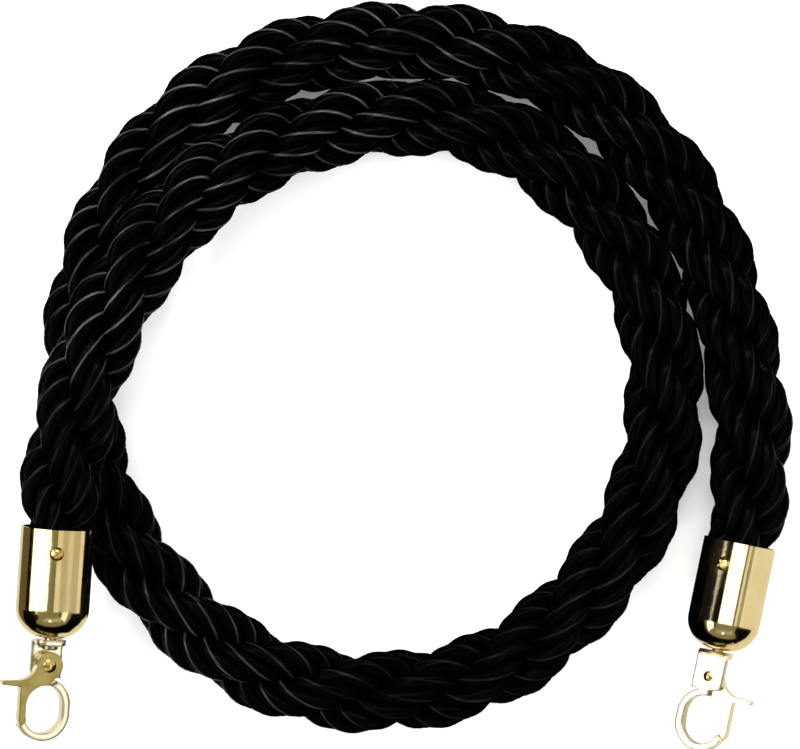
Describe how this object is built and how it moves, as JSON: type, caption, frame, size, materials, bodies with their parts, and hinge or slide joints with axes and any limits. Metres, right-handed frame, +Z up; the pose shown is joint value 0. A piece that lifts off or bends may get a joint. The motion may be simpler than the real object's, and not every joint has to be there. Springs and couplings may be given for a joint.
{
  "type": "twisted barrier rope",
  "caption": "Twisted barrier rope with domed brass end caps and swivel trigger snap hooks, laid in a loose coil.",
  "frame": {"origin": "on the surface that the rope lies on, at the middle of the box around the two end fittings", "axes": "+X from the left end fitting to the right one, +Y from the hooks towards the coil, +Z up from the surface"},
  "size_m": [0.3273, 0.3124, 0.0633],
  "materials": {
    "rope_yarn": "glossy twisted rayon yarn",
    "whipping_tape": "matt cloth tape",
    "cap_brass": "polished plating with fine wear",
    "screw_brass": "polished plating",
    "hook_brass": "pale polished plating with cast texture",
    "gate_brass": "polished plating",
    "swivel_steel": "turned, brass flashed",
    "spring_steel": "drawn wire"
  },
  "bodies": {
    "rope": {"rope": "rope_yarn", "left_rope_whipping": "whipping_tape", "left_end_cap": "cap_brass", "left_cap_screw": "screw_brass", "left_swivel_washer": "swivel_steel", "right_rope_whipping": "whipping_tape", "right_end_cap": "cap_brass", "right_cap_screw": "screw_brass", "right_swivel_washer": "swivel_steel"},
    "left_hook": {"left_swivel_stud": "swivel_steel", "left_hook_body": "hook_brass", "left_gate_rivet": "screw_brass", "left_gate_spring": "spring_steel"},
    "left_gate": {"left_gate_lever": "gate_brass"},
    "right_hook": {"right_swivel_stud": "swivel_steel", "right_hook_body": "hook_brass", "right_gate_rivet": "screw_brass", "right_gate_spring": "spring_steel"},
    "right_gate": {"right_gate_lever": "gate_brass"}
  },
  "joints": [
    {"name": "left_swivel", "type": "hinge", "parent": "rope", "child": "left_hook", "pos_m": [-0.14019, 0.00184, 0.0414], "axis": [-0.0697, -0.997, -0.0349], "continuous": true},
    {"name": "left_gate_hinge", "type": "hinge", "parent": "left_hook", "child": "left_gate", "pos_m": [-0.141, -0.00963, 0.041], "axis": [-0.4194, 0.061, -0.9058], "range_deg": [0, 32], "stiffness_Nm_per_rad": 0.06, "springref_deg": -28.65},
    {"name": "right_swivel", "type": "hinge", "parent": "rope", "child": "right_hook", "pos_m": [0.13771, -0.00485, 0.0152], "axis": [-0.2028, -0.9792, 0], "continuous": true},
    {"name": "right_gate_hinge", "type": "hinge", "parent": "right_hook", "child": "right_gate", "pos_m": [0.13538, -0.01611, 0.0152], "axis": [-0.4293, 0.0889, 0.8988], "range_deg": [0, 32], "stiffness_Nm_per_rad": 0.06, "springref_deg": -28.65}
  ]
}
